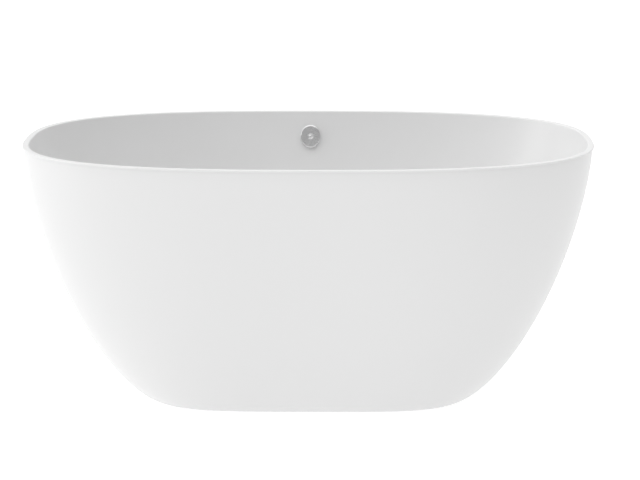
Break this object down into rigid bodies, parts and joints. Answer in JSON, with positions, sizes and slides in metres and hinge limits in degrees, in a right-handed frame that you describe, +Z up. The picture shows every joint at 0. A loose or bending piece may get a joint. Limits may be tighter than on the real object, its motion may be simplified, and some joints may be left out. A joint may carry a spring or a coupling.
{
  "type": "freestanding bathtub",
  "caption": "Oval double-skin freestanding bathtub with a thin flat rim, walls that curve in to a smaller foot, a rear overflow, a click-clack waste and levelling feet.",
  "frame": {"origin": "on the floor under the middle of the tub", "axes": "+X along the tub, +Y towards the wall with the overflow, +Z up"},
  "size_m": [1.3999, 0.75, 0.63],
  "materials": {
    "acrylic_inner": "satin white cast acrylic",
    "acrylic_outer": "satin white cast acrylic",
    "adhesive": "matt white adhesive",
    "foam": "rigid foam, open cut face",
    "board": "resin-sealed chipboard",
    "frame_steel": "galvanised steel tube",
    "cap_plastic": "black moulded plastic",
    "zinc_steel": "bright zinc-plated steel",
    "pad_plastic": "black nylon",
    "satin_chrome": "satin chrome plating",
    "brass": "turned brass",
    "spring_steel": "drawn stainless wire",
    "waste_plastic": "white moulded plastic",
    "hose_plastic": "ribbed flexible plastic hose",
    "clip_steel": "stainless band",
    "seal_rubber": "black soft rubber"
  },
  "bodies": {
    "tub": {"basin": "acrylic_inner", "skirt": "acrylic_outer", "rim_bead": "adhesive", "wall_packers": "foam", "base_board": "board", "rail_front": "frame_steel", "rail_rear": "frame_steel", "cross_member_left": "frame_steel", "cross_member_right": "frame_steel", "frame_end_caps": "cap_plastic", "board_screws": "zinc_steel", "weld_nuts": "zinc_steel", "lock_nuts": "zinc_steel", "overflow_cover": "satin_chrome", "cover_screw": "satin_chrome", "drain_flange": "satin_chrome", "plug_guide": "brass", "plug_spring": "spring_steel", "overflow_body": "waste_plastic", "overflow_insert": "waste_plastic", "drain_body": "waste_plastic", "tailpiece": "waste_plastic", "coupling_nut": "waste_plastic", "overflow_hose": "hose_plastic", "hose_clips": "clip_steel", "overflow_gasket": "seal_rubber", "overflow_seal": "seal_rubber", "drain_flange_seal": "seal_rubber", "drain_body_seal": "seal_rubber", "tailpiece_washer": "seal_rubber"},
    "plug": {"plug_cap": "satin_chrome", "plug_seal": "seal_rubber", "plug_plunger": "brass"},
    "pad_front_left": {"pad_front_left": "pad_plastic"},
    "stud_front_left": {"stud_front_left": "zinc_steel"},
    "pad_front_right": {"pad_front_right": "pad_plastic"},
    "stud_front_right": {"stud_front_right": "zinc_steel"},
    "pad_rear_left": {"pad_rear_left": "pad_plastic"},
    "stud_rear_left": {"stud_rear_left": "zinc_steel"},
    "pad_rear_right": {"pad_rear_right": "pad_plastic"},
    "stud_rear_right": {"stud_rear_right": "zinc_steel"}
  },
  "joints": [
    {"name": "plug_press", "type": "slide", "parent": "tub", "child": "plug", "axis": [0, 0, 1], "range_m": [-0.008, 0], "deforming": ["plug_spring"]},
    {"name": "front_left_height", "type": "slide", "parent": "tub", "child": "pad_front_left", "axis": [0, 0, 1], "range_m": [-0.008, 0.008]},
    {"name": "front_left_turn", "type": "hinge", "parent": "pad_front_left", "child": "stud_front_left", "pos_m": [-0.255, -0.165, 0.05], "axis": [0, 0, 1], "range_deg": [-1650, 1650]},
    {"name": "front_right_height", "type": "slide", "parent": "tub", "child": "pad_front_right", "axis": [0, 0, 1], "range_m": [-0.008, 0.008]},
    {"name": "front_right_turn", "type": "hinge", "parent": "pad_front_right", "child": "stud_front_right", "pos_m": [0.255, -0.165, 0.05], "axis": [0, 0, 1], "range_deg": [-1650, 1650]},
    {"name": "rear_left_height", "type": "slide", "parent": "tub", "child": "pad_rear_left", "axis": [0, 0, 1], "range_m": [-0.008, 0.008]},
    {"name": "rear_left_turn", "type": "hinge", "parent": "pad_rear_left", "child": "stud_rear_left", "pos_m": [-0.255, 0.165, 0.05], "axis": [0, 0, 1], "range_deg": [-1650, 1650]},
    {"name": "rear_right_height", "type": "slide", "parent": "tub", "child": "pad_rear_right", "axis": [0, 0, 1], "range_m": [-0.008, 0.008]},
    {"name": "rear_right_turn", "type": "hinge", "parent": "pad_rear_right", "child": "stud_rear_right", "pos_m": [0.255, 0.165, 0.05], "axis": [0, 0, 1], "range_deg": [-1650, 1650]}
  ],
  "couplings": [
    {"joint": "front_left_turn", "follows": "front_left_height", "rad_per_m": 3590.4},
    {"joint": "front_right_turn", "follows": "front_right_height", "rad_per_m": 3590.4},
    {"joint": "rear_left_turn", "follows": "rear_left_height", "rad_per_m": 3590.4},
    {"joint": "rear_right_turn", "follows": "rear_right_height", "rad_per_m": 3590.4}
  ]
}
